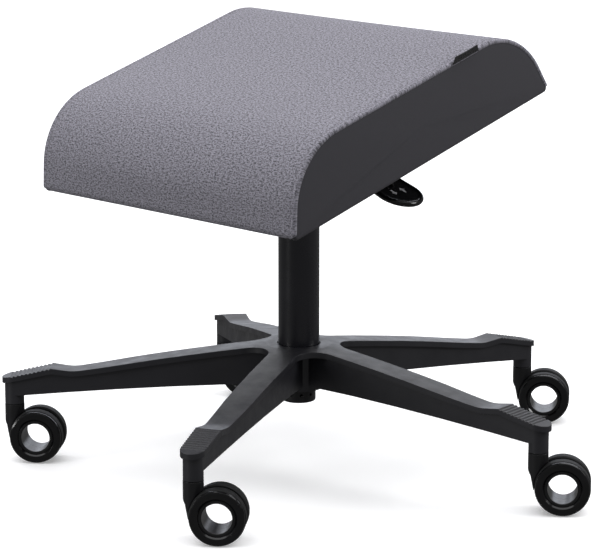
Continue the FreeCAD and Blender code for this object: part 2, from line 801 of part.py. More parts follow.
def mounting_bracket():
    """Wedge-shaped pan: level floor, walls up to the sloping board, flanges out against it."""
    outside = box(-bracket_half_width, bracket_half_width, bracket_front, bracket_rear, bracket_floor,
                  seat_height + cushion_length)
    wall = bracket_wall
    inside = box(-bracket_half_width + wall, bracket_half_width - wall, bracket_front + wall,
                 bracket_rear - wall, bracket_floor + wall, seat_height + cushion_length)
    pan = under_plane(outside.cut(inside), flange_top)
    flange_reach = bracket_half_width + flange_width
    rim = box(-flange_reach, flange_reach, bracket_front, bracket_rear, flange_bottom, flange_top)
    for x, u in bolt_places():
        rim = rim.cut(disc(bolt_radius + running_gap, flange_bottom, flange_top, x, u))
    rim.Placement = seat_frame
    hollow = box(-bracket_half_width + wall, bracket_half_width - wall, bracket_front + wall,
                 bracket_rear - wall, bracket_floor + wall, seat_height + cushion_length)
    slot = box(bracket_half_width - 2 * wall, bracket_half_width + wall, -lever_slot_half_width,
               lever_slot_half_width, lever_height - lever_radius - lever_slot_down,
               lever_height + lever_slot_up)
    hole = disc(tube_radius + socket_wall + press_gap, bracket_floor, bracket_floor + wall)
    pan = joined([pan, rim.cut(hollow)]).cut([slot, hole])
    return joined([pan, bracket_ear(1), bracket_ear(-1)])


def taper_socket():
    inner_top = tube_radius - tube_taper + press_gap
    top = tube_top - taper_below_tube
    share = (top - taper_bottom) / (tube_top - taper_bottom)
    outline = [(tube_radius + press_gap, taper_bottom), (tube_radius + socket_wall, taper_bottom),
               (tube_radius + socket_wall, top), (inner_top + tube_taper * (1 - share), top)]
    return turned(outline)


def lever_pivot_pin():
    reach = lever_block_half_width + face_gap + ear_wall
    pin = rod_along(Vector(lever_pivot_x, -reach, lever_height), Vector(lever_pivot_x, reach, lever_height),
                    pivot_pin_radius)
    heads = [rod_along(Vector(lever_pivot_x, side * reach, lever_height),
                       Vector(lever_pivot_x, side * (reach + pivot_head_size), lever_height),
                       pivot_pin_radius + pivot_head_size)
             for side in (-1, 1)]
    return joined([pin] + heads)


# ---- lever and paddle
droop = math.radians(paddle_droop)
rod_bend = Vector(lever_bend_x, 0, lever_height)
rod_end = rod_bend + Vector(math.cos(droop), 0, -math.sin(droop)) * (
    paddle_start_x - lever_bend_x + paddle_cover)


def lever_rod():
    straight = rod_along(Vector(lever_inner_end, 0, lever_height), rod_bend, lever_radius)
    bent = rod_along(rod_bend, rod_end, lever_radius)
    knuckle = Part.makeSphere(lever_radius, rod_bend)
    block = box(lever_pivot_x - lever_block_half_length, lever_pivot_x + lever_block_half_length,
                -lever_block_half_width, lever_block_half_width,
                lever_height - lever_block_half_height, lever_height + lever_block_half_height)
    hole = rod_along(Vector(lever_pivot_x, -lever_block_half_width, lever_height),
                     Vector(lever_pivot_x, lever_block_half_width, lever_height),
                     pivot_pin_radius + running_gap)
    return joined([straight, knuckle, bent, block]).cut(hole)


def lever_paddle():
    """Broad round-ended tongue that droops outward, swollen where the rod enters it."""
    length = (paddle_end_x - paddle_start_x) / math.cos(droop)
    widths = [(0, paddle_neck_half_width), (paddle_shoulder, paddle_shoulder_half_width),
              (length - paddle_half_width, paddle_half_width)]
    left = [Vector(along, half_width, 0) for along, half_width in widths]
    right = [Vector(along, -half_width, 0) for along, half_width in widths[::-1]]
    edges = [Part.makeLine(a, b) for a, b in zip(left, left[1:])]
    edges.append(Part.Arc(left[-1], Vector(length, 0, 0), right[0]).toShape())
    edges += [Part.makeLine(a, b) for a, b in zip(right, right[1:])]
    edges.append(Part.makeLine(right[-1], left[0]))
    tongue = Part.Face(Part.Wire(edges)).extrude(Vector(0, 0, paddle_thickness))
    tongue.translate(Vector(0, 0, -paddle_thickness / 2))
    boss = Part.makeCylinder(lever_radius + paddle_boss_wall, paddle_cover + paddle_boss_end, origin,
                             Vector(1, 0, 0))
    bore = Part.makeCylinder(lever_radius + press_gap, paddle_cover + press_gap, origin, Vector(1, 0, 0))
    paddle = joined([tongue, boss]).cut(bore)
    start = rod_bend + (rod_end - rod_bend) * (1 - paddle_cover / (rod_end - rod_bend).Length)
    paddle.Placement = Placement(start, Rotation(Vector(0, 1, 0), paddle_droop))
    return paddle


# ---- every node
def in_seat_frame(shape):
    shape.Placement = seat_frame.multiply(shape.Placement)
    return shape


def fixed_nodes():
    return {
        "star_base": star_base(),
        "column_outer_tube": column_outer_tube(),
        "guide_bush": guide_bush(),
        "column_end_cap": column_end_cap(),
        "thrust_bearing": thrust_bearing(),
        "caster_stems": on_every_caster(caster_stem()),
        "caster_grip_rings": on_every_caster(caster_grip_ring()),
        "piston_rod": piston_rod(),
        "piston": piston(),
        "rod_clip": rod_clip(),
        "thrust_washer_upper": thrust_washer_upper(),
        "pressure_tube": pressure_tube(),
        "rod_seal_guide": rod_seal_guide(),
        "valve_body": valve_body(),
        "release_pin": release_pin(),
        "mounting_bracket": mounting_bracket(),
        "taper_socket": taper_socket(),
        "lever_pivot_pin": lever_pivot_pin(),
        "lever_rod": lever_rod(),
        "lever_paddle": lever_paddle(),
    }


def seat_nodes():
    return {
        "bracket_bolts": bracket_bolts(),
        "bracket_washers": bracket_washers(),
        "tee_nuts": tee_nuts(),
        "seat_board": seat_board(),
        "dust_cover": dust_cover(),
        "foam_core": foam_core().cut(bolt_end_recesses()),
        "top_cover": top_cover(),
        "side_panel_left": side_panel(-1),
        "side_panel_right": side_panel(1),
        "seam_tab": seam_tab(),
    }


def caster_nodes(number, azimuth):
    shapes = {
        "body": caster_body(),
        "sleeves": caster_sleeves(),
        "wheel_a": wheel_rim(1),
        "wheel_b": wheel_rim(-1),
        "tread_a": wheel_tread(1),
        "tread_b": wheel_tread(-1),
    }
    return {f"caster_{number}_{name}": at_caster(shape, azimuth) for name, shape in shapes.items()}


def all_nodes():
    nodes = fixed_nodes()
    nodes.update({name: in_seat_frame(shape) for name, shape in seat_nodes().items()})
    for number, azimuth in enumerate(arm_azimuths(), start=1):
        nodes.update(caster_nodes(number, azimuth))
    return nodes


os.makedirs("parts", exist_ok=True)
for node, solid in all_nodes().items():
    solid.exportStep(f"parts/{node}.step")
    print(node, "solids", len(solid.Solids), "valid", solid.isValid(), "volume", round(solid.Volume))
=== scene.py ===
# %% [markdown]
# # Dressing a footrest stool
#
# The stool is an upholstered, forward-sloping cushion on a gas column and a five-arm base with open-hub
# casters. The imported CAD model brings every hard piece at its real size. Blender adds what CAD leaves
# plain: cloth, seams and stitches, turned and rounded plastics, and the finish of each surface.
# Everything is in metres: +Z is up, +X is the sitter's right and -Y is the cushion's low front edge.

# %% Load the frame
import json
import math

import bmesh
import bpy
import numpy as np
from mathutils import Matrix, Vector


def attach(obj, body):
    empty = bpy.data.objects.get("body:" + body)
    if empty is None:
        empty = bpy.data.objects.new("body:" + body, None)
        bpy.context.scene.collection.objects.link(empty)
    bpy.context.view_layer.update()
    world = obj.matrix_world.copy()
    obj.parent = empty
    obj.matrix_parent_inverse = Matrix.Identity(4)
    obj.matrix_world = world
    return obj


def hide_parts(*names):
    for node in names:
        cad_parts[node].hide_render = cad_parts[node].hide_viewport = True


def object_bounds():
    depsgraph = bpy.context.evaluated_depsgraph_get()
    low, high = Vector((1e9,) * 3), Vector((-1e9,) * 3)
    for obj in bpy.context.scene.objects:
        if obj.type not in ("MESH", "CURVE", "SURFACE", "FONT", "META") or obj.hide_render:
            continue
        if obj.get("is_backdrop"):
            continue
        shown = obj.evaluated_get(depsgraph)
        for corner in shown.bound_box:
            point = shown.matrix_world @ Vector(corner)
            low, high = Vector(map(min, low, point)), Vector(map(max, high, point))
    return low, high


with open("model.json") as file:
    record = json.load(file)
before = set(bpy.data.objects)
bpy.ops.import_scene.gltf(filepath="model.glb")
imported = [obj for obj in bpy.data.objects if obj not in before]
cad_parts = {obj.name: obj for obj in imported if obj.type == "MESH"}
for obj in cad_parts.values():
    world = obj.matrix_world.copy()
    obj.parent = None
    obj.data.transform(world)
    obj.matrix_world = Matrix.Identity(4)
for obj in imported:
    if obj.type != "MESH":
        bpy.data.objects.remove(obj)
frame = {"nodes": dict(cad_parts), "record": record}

record = frame["record"]
nodes = frame["nodes"]
cad_low, cad_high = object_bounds()

# %% [markdown]
# ## The camera
# The stool stands turned about 45 degrees, seen from a low tripod some 3.5 m away through a long lens.
# A long lens keeps the column and the cushion's edges nearly parallel. The camera is aimed by angles, so
# that its height and slope stay plain values.

# %% Place the camera
CAMERA_DISTANCE = 3.430
CAMERA_HEIGHT = 0.974
CAMERA_AZIMUTH = 45.3
CAMERA_SLOPE = 12.25
LENS = 173.96
SIDE_SHIFT = 0.0019

azimuth = math.radians(CAMERA_AZIMUTH)
camera_data = bpy.data.cameras.new("camera")
camera_data.lens = LENS
camera_data.sensor_width = 36.0
camera_data.shift_x = SIDE_SHIFT
camera_data.clip_end = 60.0
camera = bpy.data.objects.new("camera", camera_data)
bpy.context.scene.collection.objects.link(camera)
camera.location = (CAMERA_DISTANCE * math.sin(azimuth), -CAMERA_DISTANCE * math.cos(azimuth), CAMERA_HEIGHT)
camera.rotation_euler = (math.radians(90 - CAMERA_SLOPE), 0, azimuth)
bpy.context.scene.camera = camera
print("camera at", [round(x, 3) for x in camera.location])

# %% [markdown]
# ## The studio
# A pale floor that runs past the view gives a seamless ground, and one very large soft panel overhead
# lights it evenly. Black plastics show what they mirror: level tops mirror the air low behind the stool,
# so the surroundings are kept dim, and a tall panel on the left draws the bright line down the column.
# The floor also glows a little, like a lit acrylic table, which fills in all but the tightest shadows.
# It is left out of reflections and bounce, as if black cards lay round the stool, so the blacks stay deep.
# A wide, cool panel low behind the stool is what the level tops of the arms mirror.

# %% Floor and lights
FLOOR_SIZE = 40.0


def flat_material(name, color, roughness, glow):
    material = bpy.data.materials.new(name)
    material.use_nodes = True
    shader = material.node_tree.nodes["Principled BSDF"]
    shader.inputs["Base Color"].default_value = (*color, 1)
    shader.inputs["Roughness"].default_value = roughness
    shader.inputs["Emission Color"].default_value = (1, 1, 1, 1)
    shader.inputs["Emission Strength"].default_value = glow
    return material


def area_light(name, place, target, width, height, power, color=(1, 1, 1)):
    data = bpy.data.lights.new(name, "AREA")
    data.shape = "RECTANGLE"
    data.size = width
    data.size_y = height
    data.energy = power
    data.color = color
    lamp = bpy.data.objects.new(name, data)
    bpy.context.scene.collection.objects.link(lamp)
    lamp.location = place
    lamp.rotation_euler = (Vector(target) - Vector(place)).to_track_quat("-Z", "Y").to_euler()
    return lamp


floor_mesh = bpy.data.meshes.new("floor")
reach = FLOOR_SIZE / 2
floor_mesh.from_pydata([(-reach, -reach, 0), (reach, -reach, 0), (reach, reach, 0), (-reach, reach, 0)],
                       [], [(0, 1, 2, 3)])
floor_mesh.materials.append(flat_material("pale_floor", (0.90, 0.90, 0.90), 0.8, 0.25))
floor = bpy.data.objects.new("floor", floor_mesh)
bpy.context.scene.collection.objects.link(floor)
floor.visible_glossy = False
floor.visible_diffuse = False
floor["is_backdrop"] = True

world = bpy.data.worlds.new("studio")
world.use_nodes = True
world.node_tree.nodes["Background"].inputs["Color"].default_value = (1, 1, 1, 1)
bpy.context.scene.view_settings.view_transform = "Standard"

MIDDLE = (0, 0, 0.28)
SKY = 0.20
bpy.context.scene.world = world
world.node_tree.nodes["Background"].inputs["Strength"].default_value = SKY
area_light("overhead", (-1.2, 1.2, 6.0), (-1.2, 1.2, 0), 13.0, 13.0, 1000, (0.98, 0.98, 1.0))
area_light("left_panel", (-0.85, -3.0, 1.0), MIDDLE, 0.35, 1.8, 26)
area_light("right_panel", (1.5, 1.0, 1.0), (0.215, 0.15, 0.45), 0.6, 0.6, 12)
back_panel = area_light("back_panel", (-3.0, 3.0, 1.0), MIDDLE, 5.0, 1.4, 40, (0.86, 0.9, 1.0))
back_panel.visible_camera = False

# %% [markdown]
# ## Helpers for meshes
# One helper makes an object from plain lists, with smooth shading. Another is a small lathe for the
# paddle's socket: it rounds a profile's corners and spins it, because a real moulding has no sharp edge
# and the rounded edge is what catches light.

# %% Mesh helpers
def add_object(name, vertices, faces, smooth=True):
    mesh = bpy.data.meshes.new(name)
    mesh.from_pydata([tuple(v) for v in vertices], [], faces)
    mesh.update()
    if smooth:
        mesh.shade_smooth()
    piece = bpy.data.objects.new(name, mesh)
    bpy.context.scene.collection.objects.link(piece)
    return piece


def rounded(profile, radius, steps=4):
    """The closed profile with each corner replaced by an arc, no longer than half its shorter side."""
    points = [Vector(p) for p in profile]
    out = []
    for i, corner in enumerate(points):
        before = points[i - 1] - corner
        after = points[(i + 1) % len(points)] - corner
        half_angle = before.angle(after) / 2
        reach = min(radius / math.tan(half_angle), 0.45 * before.length, 0.45 * after.length)
        start = corner + before.normalized() * reach
        end = corner + after.normalized() * reach
        for step in range(steps + 1):
            t = step / steps
            out.append(start * (1 - t) ** 2 + corner * 2 * t * (1 - t) + end * t ** 2)
    return out


def lathe(name, profile, centre, axis, corner, segments):
    """Spins a closed (radius, along) profile, its corners rounded, about the axis through centre."""
    points = rounded(profile, corner)
    axis = Vector(axis).normalized()
    side = axis.orthogonal().normalized()
    other = axis.cross(side)
    count = len(points)
    vertices = []
    for segment in range(segments):
        angle = 2 * math.pi * segment / segments
        outward = side * math.cos(angle) + other * math.sin(angle)
        vertices += [Vector(centre) + outward * p.x + axis * p.y for p in points]
    faces = []
    for segment in range(segments):
        here = segment * count
        there = (segment + 1) % segments * count
        for i in range(count):
            j = (i + 1) % count
            faces.append((here + i, here + j, there + j, there + i))
    piece = add_object(name, vertices, faces)
    face_outward(piece)
    return piece


def face_outward(piece, weld=False):
    """Turns every face outward, once doubled points are joined if asked."""
    work = bmesh.new()
    work.from_mesh(piece.data)
    if weld:
        bmesh.ops.remove_doubles(work, verts=work.verts, dist=1e-6)
    bmesh.ops.recalc_face_normals(work, faces=work.faces)
    work.to_mesh(piece.data)
    work.free()


def keep_edges_crisp(piece, degrees=35):
    piece.data.set_sharp_from_angle(angle=math.radians(degrees))


# %% [markdown]
# ## Materials from nodes
# Each finish is a small node tree on one shader. A tiny builder keeps the wiring readable: it adds a node,
# sets its values and links what is given. Texture coordinates are the object's own metres, so a grain
# keeps its real size on every piece.

# %% Material builder
class Finish:
    """One material with its shader, and short ways to add nodes to it."""

    def __init__(self, name, color, roughness, **sockets):
        self.material = bpy.data.materials.new(name)
        self.material.use_nodes = True
        self.tree = self.material.node_tree
        self.shader = self.tree.nodes["Principled BSDF"]
        self.shader.inputs["Base Color"].default_value = (*color, 1)
        self.shader.inputs["Roughness"].default_value = roughness
        for socket, value in sockets.items():
            self.shader.inputs[socket.replace("_", " ")].default_value = value
        self.place = self.node("ShaderNodeTexCoord").outputs["Object"]

    def node(self, kind, inputs=None, **settings):
        made = self.tree.nodes.new(kind)
        for key, value in settings.items():
            setattr(made, key, value)
        for key, value in (inputs or {}).items():
            self.feed(made.inputs[key], value)
        return made

    def feed(self, socket, value):
        """Links another node's output to the socket, or sets a plain value on it."""
        if isinstance(value, bpy.types.NodeSocket):
            self.tree.links.new(value, socket)
        else:
            socket.default_value = value

    def link(self, source, socket):
        self.tree.links.new(source, self.shader.inputs[socket])

    def noise(self, scale, detail=4.0, place=None, roughness=0.55):
        inputs = {"Vector": place or self.place, "Scale": scale, "Detail": detail, "Roughness": roughness}
        return self.node("ShaderNodeTexNoise", inputs).outputs["Fac"]

    def math(self, operation, a, b=0.0):
        return self.node("ShaderNodeMath", {0: a, 1: b}, operation=operation).outputs[0]

    def spread(self, value, low, high, to_low=0.0, to_high=1.0):
        inputs = {"Value": value, "From Min": low, "From Max": high, "To Min": to_low, "To Max": to_high}
        return self.node("ShaderNodeMapRange", inputs).outputs["Result"]

    def ramp(self, value, stops):
        made = self.node("ShaderNodeValToRGB", {"Fac": value})
        elements = made.color_ramp.elements
        for position, color in stops[2:]:
            elements.new(position)
        for element, (position, color) in zip(elements, stops):
            element.position = position
            element.color = (*color, 1)
        return made.outputs["Color"]

    def mix(self, factor, a, b):
        made = self.node("ShaderNodeMix", {"Factor": factor}, data_type="RGBA")
        for key, color in ((6, a), (7, b)):
            self.feed(made.inputs[key], (*color, 1) if isinstance(color, tuple) else color)
        return made.outputs[2]

    def bump(self, height, distance, strength=1.0, under=None, edge=0.0):
        """Adds relief; edge rounds the lighting of sharp corners over that distance."""
        inputs = {"Height": height, "Distance": distance, "Strength": strength}
        if under is None and edge:
            under = self.node("ShaderNodeBevel", {"Radius": edge}, samples=4).outputs["Normal"]
        if under is not None:
            inputs["Normal"] = under
        normal = self.node("ShaderNodeBump", inputs).outputs["Normal"]
        self.link(normal, "Normal")
        return normal


def dress(piece, finish):
    """Gives every face of the piece this one finish."""
    piece.data.materials.clear()
    piece.data.materials.append(finish.material)


# %% [markdown]
# ## Hard finishes
# The base is glass-filled nylon: dark grey, satin, with a fine spark-eroded grain and faintly paler
# patches where shoes rub. The caster wheels and the paddle are glossy mouldings with fine turning marks
# and a thin film of dust, and the treads a soft matt rubber. A shader bevel softens every sharp edge.

# %% Moulded nylon, satin plastic and rubber
def grained_plastic(name, color, roughness, shine, grain=900.0, wear=0.35, edge=0.0008):
    finish = Finish(name, color, roughness, Specular_IOR_Level=shine)
    clouds = finish.noise(14.0, 3.0)
    pale = tuple(channel * (1 + wear) + 0.002 for channel in color)
    finish.link(finish.mix(finish.spread(clouds, 0.35, 0.75), color, pale), "Base Color")
    patches = finish.noise(60.0, 5.0)
    finish.link(finish.spread(patches, 0.3, 0.7, roughness - 0.06, roughness + 0.08), "Roughness")
    finish.bump(finish.noise(grain, 2.0), 0.00012, 0.5, edge=edge)
    return finish


def scuffed_gloss(name, color, roughness):
    finish = Finish(name, color, roughness, Specular_IOR_Level=0.4)
    scratch = finish.noise(350.0, 6.0, roughness=0.7)
    finish.link(finish.spread(scratch, 0.45, 0.8, roughness, roughness + 0.18), "Roughness")
    dust = finish.spread(finish.noise(40.0, 6.0), 0.52, 0.85, 0.0, 0.12)
    finish.link(finish.mix(dust, color, (0.06, 0.06, 0.063)), "Base Color")
    finish.bump(finish.noise(55.0, 2.0), 0.00010, 0.25, edge=0.0006)
    return finish


def dusty_rubber(name, color):
    finish = Finish(name, color, 0.62, Specular_IOR_Level=0.2)
    dust = finish.spread(finish.noise(90.0, 6.0), 0.45, 0.8, 0.0, 0.25)
    finish.link(finish.mix(dust, color, (0.040, 0.040, 0.039)), "Base Color")
    finish.bump(finish.noise(1200.0, 3.0), 0.00015, 0.6, edge=0.0005)
    return finish


nylon = grained_plastic("base_nylon", (0.014, 0.014, 0.0175), 0.42, 0.45, wear=0.12)
satin_black = grained_plastic("satin_black", (0.006, 0.006, 0.007), 0.36, 0.35, grain=1200.0, wear=0.1)
gloss_black = scuffed_gloss("gloss_black", (0.003, 0.003, 0.0035), 0.12)
sleeve_black = scuffed_gloss("sleeve_black", (0.006, 0.006, 0.0065), 0.28)
tread_rubber = dusty_rubber("tread_rubber", (0.007, 0.007, 0.0075))

# %% [markdown]
# Powder coat has a faint orange-peel surface: low bumps one to three millimetres across under a satin
# skin. Plated and bare steels are metallic with fine streaks, and plywood has long fibres.

# %% Steels and wood
def powder_coat(name, color, roughness):
    finish = Finish(name, color, roughness, Specular_IOR_Level=0.45)
    patches = finish.noise(30.0, 4.0)
    finish.link(finish.spread(patches, 0.3, 0.7, roughness - 0.04, roughness + 0.06), "Roughness")
    finish.link(finish.mix(finish.noise(8.0, 2.0), color, tuple(c * 1.5 for c in color)), "Base Color")
    finish.bump(finish.noise(420.0, 2.0), 0.00010, 0.35, edge=0.0005)
    return finish


def plated_steel(name, color, roughness):
    finish = Finish(name, color, roughness, Metallic=1.0)
    streaks = finish.noise(500.0, 5.0)
    finish.link(finish.spread(streaks, 0.3, 0.7, roughness - 0.08, roughness + 0.12), "Roughness")
    finish.link(finish.mix(finish.noise(120.0, 3.0), color, tuple(c * 0.72 for c in color)), "Base Color")
    finish.bump(streaks, 0.00004, 0.4, edge=0.0003)
    return finish


def plywood_grain(name):
    finish = Finish(name, (0.55, 0.38, 0.22), 0.65)
    stretched = finish.node("ShaderNodeMapping", {"Vector": finish.place, "Scale": (4.0, 60.0, 60.0)})
    fibres = finish.noise(6.0, 6.0, place=stretched.outputs["Vector"])
    finish.link(finish.ramp(fibres, [(0.3, (0.36, 0.22, 0.11)), (0.7, (0.66, 0.48, 0.29))]), "Base Color")
    finish.bump(fibres, 0.0002, 0.4)
    return finish


column_coat = powder_coat("column_coat", (0.007, 0.007, 0.010), 0.26)
bracket_coat = powder_coat("bracket_coat", (0.008, 0.008, 0.009), 0.42)
zinc = plated_steel("zinc_plate", (0.62, 0.62, 0.60), 0.32)
bare_steel = plated_steel("bare_steel", (0.56, 0.56, 0.57), 0.22)
plywood = plywood_grain("plywood")

# %% [markdown]
# ## Cloth finishes
# The grey cover is a felted wool blend: a plain weave under a short nap, its yarns mixed from pale,
# lilac and near-black fibres, so it looks speckled close by and soft grey-lilac far off. The weave is
# drawn in the cloth's own coordinates, a vector stored on each point that runs in metres across the
# cushion and along its wrap, so threads follow the surface round every bend.

# %% Melange cover cloth
THREAD = 0.0011


def cloth_axes(finish):
    flow = finish.node("ShaderNodeAttribute", attribute_name="cloth")
    split = finish.node("ShaderNodeSeparateXYZ", {"Vector": flow.outputs["Vector"]})
    return flow.outputs["Vector"], split.outputs["X"], split.outputs["Y"]


def weave_height(finish, across, along, pitch):
    """Over-and-under relief of a plain weave."""
    turns = 2 * math.pi / pitch
    warp = finish.math("SINE", finish.math("MULTIPLY", across, turns))
    weft = finish.math("SINE", finish.math("MULTIPLY", along, turns))
    return finish.math("MULTIPLY", warp, weft)


def melange_cloth():
    finish = Finish("melange_cloth", (0.22, 0.21, 0.25), 0.90, Sheen_Weight=0.12, Sheen_Roughness=0.45,
                    Specular_IOR_Level=0.15)
    flow, across, along = cloth_axes(finish)
    flecks = finish.noise(480.0, 3.0, place=flow, roughness=0.75)
    slubs = finish.node("ShaderNodeMapping", {"Vector": flow, "Scale": (240.0, 700.0, 1.0)})
    yarns = finish.noise(1.0, 2.0, place=slubs.outputs["Vector"])
    clouds = finish.noise(22.0, 4.0, place=flow)
    speck = finish.math("ADD", finish.math("MULTIPLY", flecks, 0.62), finish.math("MULTIPLY", yarns, 0.38))
    body = finish.ramp(speck, [(0.40, (0.046, 0.045, 0.052)), (0.60, (0.410, 0.399, 0.460)),
                               (0.47, (0.165, 0.160, 0.190)), (0.53, (0.235, 0.228, 0.270))])
    shade = finish.mix(finish.spread(clouds, 0.3, 0.7, 0.0, 0.10), body, (0.17, 0.165, 0.195))
    finish.link(shade, "Base Color")
    relief = finish.math("ADD", finish.math("MULTIPLY", weave_height(finish, across, along, THREAD), 0.35),
                         finish.math("MULTIPLY", flecks, 1.3))
    finish.bump(relief, 0.00035, 0.85)
    return finish


melange = melange_cloth()
print("cover cloth:", round(THREAD * 1000, 2), "mm threads")

# %% [markdown]
# The side panels are a tightly knitted black upholstery cloth with a slight lustre. It shows no fleck,
# only a dense, fine rib, so a small bump and a broad soft highlight are enough. The underside lining is a
# thin non-woven felt, and the seam tab a smooth woven tape.

# %% Side, lining, tab and thread finishes
def fine_cloth(name, color, pitch, roughness, sheen, nap=2600.0):
    finish = Finish(name, color, roughness, Sheen_Weight=sheen, Sheen_Roughness=0.5, Specular_IOR_Level=0.2)
    flow, across, along = cloth_axes(finish)
    fuzz = finish.noise(nap, 2.0, place=flow)
    light = tuple(c * 1.6 for c in color)
    finish.link(finish.mix(finish.spread(fuzz, 0.3, 0.7), color, light), "Base Color")
    relief = finish.math("ADD", weave_height(finish, across, along, pitch), fuzz)
    finish.bump(relief, 0.00012, 0.5)
    return finish


side_cloth = fine_cloth("side_cloth", (0.033, 0.032, 0.0375), 0.0009, 0.60, 0.06)
lining = fine_cloth("lining_felt", (0.010, 0.010, 0.011), 0.0016, 0.9, 0.03, nap=900.0)
tab_tape = fine_cloth("tab_tape", (0.006, 0.006, 0.0065), 0.0005, 0.50, 0.1)


def thread_finish(name, color):
    finish = Finish(name, color, 0.6, Sheen_Weight=0.4)
    finish.link(finish.mix(finish.noise(3000.0, 2.0), color, tuple(c * 0.55 for c in color)), "Base Color")
    finish.bump(finish.noise(2500.0, 1.0), 0.0001, 0.6)
    return finish


grey_thread = thread_finish("grey_thread", (0.22, 0.21, 0.25))

# %% [markdown]
# ## The cushion's own frame
# The cushion is tilted, so its shape is worked out flat and turned at the end. The tilt comes from the
# frame's resting face; the size comes from the CAD cover's points, turned back to level. Here x runs
# across, u rearward along the base and v square to it.

# %% Level the cushion
top_mount = next(m for m in record["mounts"] if m["name"] == "cushion_top")
tilt = math.atan2(-top_mount["axis"][1], top_mount["axis"][2])
to_row = Matrix.Rotation(tilt, 3, "X")
to_seat = to_row.inverted()


def level_box(node):
    """Lowest and highest corners of a node in the cushion's frame."""
    points = np.array([to_seat @ v.co for v in nodes[node].data.vertices])
    return Vector(points.min(0)), Vector(points.max(0))


cover_low, cover_high = level_box("top_cover")
HALF_WIDTH = cover_high.x
FRONT, REAR = cover_low.y, cover_high.y
BASE = cover_low.z
THICKNESS = cover_high.z - cover_low.z
SIDE_SLOPE = math.radians(72.0)
TOP_ROUND = 0.092
FOOT_ROUND = 0.007
print("cushion", [round(1000 * size) for size in (2 * HALF_WIDTH, REAR - FRONT, THICKNESS)], "mm")

# %% [markdown]
# ## One outline for the whole cushion
# Seen from the side the cushion is a loaf: flat base, small foot rounds, steep sides and a big round over
# to the flat top. Walking round that outline gives each point, its outward direction and the running
# length. Every cloth piece is laid out on this one outline, so their edges meet exactly.

# %% Walk the outline
def arc_points(centre, radius, start, end, step):
    count = max(3, int(abs(end - start) * radius / step))
    angles = np.linspace(start, end, count, endpoint=False)
    normals = np.stack([np.cos(angles), np.sin(angles)], axis=1)
    return centre + radius * normals, normals


def line_points(start, end, normal, step):
    count = max(2, int(np.linalg.norm(end - start) / step))
    t = np.linspace(0, 1, count, endpoint=False)[:, None]
    return start * (1 - t) + end * t, np.repeat([normal], count, axis=0)


def half_outline(step):
    """From the middle of the base, round the front to the middle of the top."""
    rise = THICKNESS - TOP_ROUND - FOOT_ROUND
    drop = TOP_ROUND - FOOT_ROUND
    along_side = (rise + drop * math.cos(SIDE_SLOPE)) / math.sin(SIDE_SLOPE)
    run = along_side * math.cos(SIDE_SLOPE) + drop * math.sin(SIDE_SLOPE)
    middle = (FRONT + REAR) / 2
    foot = np.array([FRONT + FOOT_ROUND, BASE + FOOT_ROUND])
    crown = foot + np.array([run, rise])
    side_angle = math.pi / 2 + SIDE_SLOPE
    outward = np.array([math.cos(side_angle), math.sin(side_angle)])
    down, up = np.array([0.0, -1.0]), np.array([0.0, 1.0])
    runs = [
        line_points(np.array([middle, BASE]), foot + down * FOOT_ROUND, down, step),
        arc_points(foot, FOOT_ROUND, 1.5 * math.pi, side_angle, step / 4),
        line_points(foot + outward * FOOT_ROUND, crown + outward * TOP_ROUND, outward, step),
        arc_points(crown, TOP_ROUND, side_angle, math.pi / 2, step),
        line_points(crown + up * TOP_ROUND, np.array([middle, BASE + THICKNESS]), up, step),
    ]
    return np.concatenate([r[0] for r in runs]), np.concatenate([r[1] for r in runs])


def outline(step):
    """The closed outline: points (u, v), outward directions and running length, front half first."""
    points, normals = half_outline(step)
    top = np.array([[(FRONT + REAR) / 2, BASE + THICKNESS]])
    points = np.concatenate([points, top])
    normals = np.concatenate([normals, [[0.0, 1.0]]])
    mirror = points[-2:0:-1] * [-1, 1] + [FRONT + REAR, 0]
    points = np.concatenate([points, mirror])
    normals = np.concatenate([normals, normals[-2:0:-1] * [-1, 1]])
    gaps = np.linalg.norm(np.diff(points, axis=0), axis=1)
    return points, normals, np.concatenate([[0], np.cumsum(gaps)])


SHELL_STEP = 0.006
loop, _, loop_length = outline(SHELL_STEP)
GIRTH = loop_length[-1] + np.linalg.norm(loop[-1] - loop[0])
print("girth", round(1000 * GIRTH), "mm from", len(loop), "points")

# %% [markdown]
# ## Letting the foam push
# Moulded foam is a little larger than its cover, so the cloth crowns between seams. Drawing that by eye
# looks either inflated or dead flat. Instead a light closed shell of the cushion is made, its seams and
# base are pinned, and Blender's cloth solver presses it from inside for a few frames. What is kept is
# only how far each point moved: a table that the finished pieces read later.

# %% Build the shell
SHELL_COLUMNS = 61
RINGS = 12

shell_x = np.linspace(-HALF_WIDTH, HALF_WIDTH, SHELL_COLUMNS)
ring_share = np.linspace(1, 0, RINGS + 1)
panel_middle = np.array([(FRONT + REAR) / 2, BASE + 0.45 * THICKNESS])


def level_points(x, uv):
    """Points in the cushion's frame from x and (u, v)."""
    return np.column_stack([np.broadcast_to(x, len(uv)), uv])


def build_shell():
    """Layers of outline points: across the cushion, then each panel's rings down to its middle."""
    layers = [level_points(x, loop) for x in shell_x]
    for side in (1, -1):
        layers += [level_points(side * HALF_WIDTH, panel_middle + (loop - panel_middle) * share)
                   for share in ring_share[1:]]
    wrap_chain = list(range(SHELL_COLUMNS))
    right_chain = [SHELL_COLUMNS - 1] + list(range(SHELL_COLUMNS, SHELL_COLUMNS + RINGS))
    left_chain = [0] + list(range(SHELL_COLUMNS + RINGS, SHELL_COLUMNS + 2 * RINGS))
    quads = []
    size = len(loop)
    for chain, turn in ((wrap_chain, 1), (right_chain, 1), (left_chain, -1)):
        for a, b in zip(chain, chain[1:]):
            for i in range(size):
                j = (i + 1) % size
                quads.append((a * size + i, a * size + j, b * size + j, b * size + i)[::turn])
    return np.concatenate(layers), quads


